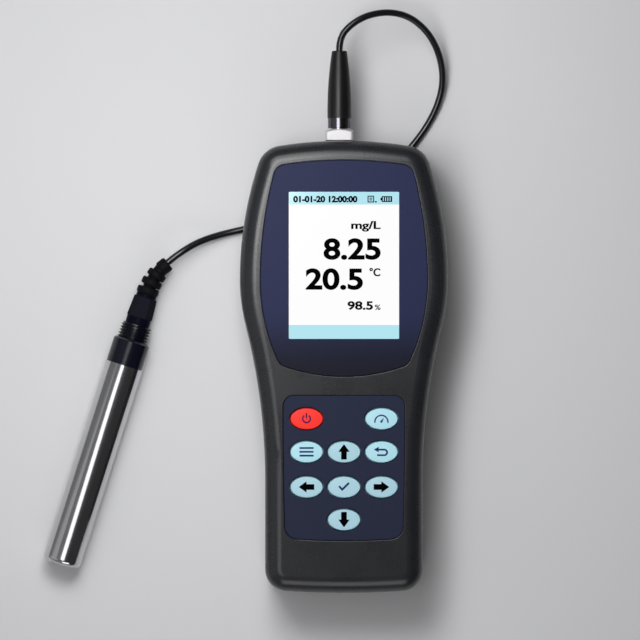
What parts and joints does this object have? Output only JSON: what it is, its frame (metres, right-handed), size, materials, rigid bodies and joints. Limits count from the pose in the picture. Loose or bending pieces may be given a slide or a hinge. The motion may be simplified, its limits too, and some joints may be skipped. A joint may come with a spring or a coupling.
{
  "type": "dissolved oxygen meter",
  "caption": "Handheld meter with a display and a keypad in a waisted case, lying on its back with a cabled steel probe plugged into its top end.",
  "frame": {"origin": "on the back of the meter's housing, in the middle of its length and width, at the surface it rests on", "axes": "+X to the right of the display, +Y to the probe socket, +Z out of the display"},
  "size_m": [0.1791, 0.2581, 0.038],
  "materials": {
    "case_plastic": "fine satin moulded surface",
    "seal_rubber": "moulded",
    "panel_blue": "printed sheet, satin",
    "keypad_blue": "printed sheet, satin",
    "screen_glass": "lit screen",
    "frame_metal": "stamped",
    "board_green": "solder mask",
    "component_black": "moulded",
    "contact_metal": "plated",
    "screw_steel": "bright",
    "cell_jacket": "wrapped",
    "socket_metal": "plated",
    "insert_black": "moulded",
    "nut_nickel": "satin plated",
    "pin_gold": "gold plated",
    "plug_chrome": "plated",
    "boot_rubber": "moulded",
    "cable_black": "glossy jacket",
    "gland_black": "moulded",
    "collar_black": "polished",
    "tube_steel": "polished stainless steel",
    "membrane_film": "stretched film",
    "key_red": "moulded",
    "key_cyan": "moulded",
    "key_pale": "moulded"
  },
  "bodies": {
    "meter": {"front_shell": "case_plastic", "rear_shell": "case_plastic", "shell_gasket": "seal_rubber", "display_panel": "panel_blue", "lcd_screen": "screen_glass", "lcd_frame": "frame_metal", "keypad_panel": "keypad_blue", "keypad_mat": "seal_rubber", "main_board": "board_green", "board_components": "component_black", "clock_cell": "contact_metal", "board_screws": "screw_steel", "case_screws": "screw_steel", "door_screws": "screw_steel", "battery_tray": "case_plastic", "batteries": "cell_jacket", "battery_contacts": "contact_metal", "battery_door": "case_plastic", "door_seal": "seal_rubber", "probe_socket": "socket_metal", "socket_insert": "insert_black", "socket_washer": "seal_rubber", "socket_nut": "nut_nickel", "socket_pins": "pin_gold"},
    "key_power": {"key_power": "key_red"},
    "key_measure": {"key_measure": "key_cyan"},
    "key_menu": {"key_menu": "key_cyan"},
    "key_up": {"key_up": "key_pale"},
    "key_escape": {"key_escape": "key_cyan"},
    "key_left": {"key_left": "key_pale"},
    "key_ok": {"key_ok": "key_pale"},
    "key_right": {"key_right": "key_pale"},
    "key_down": {"key_down": "key_pale"},
    "probe_lead": {"plug_shell": "plug_chrome", "plug_insert": "insert_black", "plug_boot": "boot_rubber", "probe_cable": "cable_black", "strain_relief": "boot_rubber", "gland_body": "gland_black", "probe_neck": "gland_black", "probe_collar": "collar_black", "collar_seal": "seal_rubber", "probe_tube": "tube_steel", "electrode_holder": "insert_black", "silver_anode": "contact_metal", "gold_cathode": "pin_gold", "membrane_cap": "collar_black", "membrane": "membrane_film"}
  },
  "joints": [
    {"name": "key_power_press", "type": "slide", "parent": "meter", "child": "key_power", "axis": [0, 0, -1], "range_m": [0, 0.0006], "stiffness_N_per_m": 800, "springref_m": -0.0006},
    {"name": "key_measure_press", "type": "slide", "parent": "meter", "child": "key_measure", "axis": [0, 0, -1], "range_m": [0, 0.0006], "stiffness_N_per_m": 800, "springref_m": -0.0006},
    {"name": "key_menu_press", "type": "slide", "parent": "meter", "child": "key_menu", "axis": [0, 0, -1], "range_m": [0, 0.0006], "stiffness_N_per_m": 800, "springref_m": -0.0006},
    {"name": "key_up_press", "type": "slide", "parent": "meter", "child": "key_up", "axis": [0, 0, -1], "range_m": [0, 0.0006], "stiffness_N_per_m": 800, "springref_m": -0.0006},
    {"name": "key_escape_press", "type": "slide", "parent": "meter", "child": "key_escape", "axis": [0, 0, -1], "range_m": [0, 0.0006], "stiffness_N_per_m": 800, "springref_m": -0.0006},
    {"name": "key_left_press", "type": "slide", "parent": "meter", "child": "key_left", "axis": [0, 0, -1], "range_m": [0, 0.0006], "stiffness_N_per_m": 800, "springref_m": -0.0006},
    {"name": "key_ok_press", "type": "slide", "parent": "meter", "child": "key_ok", "axis": [0, 0, -1], "range_m": [0, 0.0006], "stiffness_N_per_m": 800, "springref_m": -0.0006},
    {"name": "key_right_press", "type": "slide", "parent": "meter", "child": "key_right", "axis": [0, 0, -1], "range_m": [0, 0.0006], "stiffness_N_per_m": 800, "springref_m": -0.0006},
    {"name": "key_down_press", "type": "slide", "parent": "meter", "child": "key_down", "axis": [0, 0, -1], "range_m": [0, 0.0006], "stiffness_N_per_m": 800, "springref_m": -0.0006},
    {"name": "plug_pull", "type": "slide", "parent": "meter", "child": "probe_lead", "axis": [0, 1, 0], "range_m": [0, 0.0095]}
  ]
}
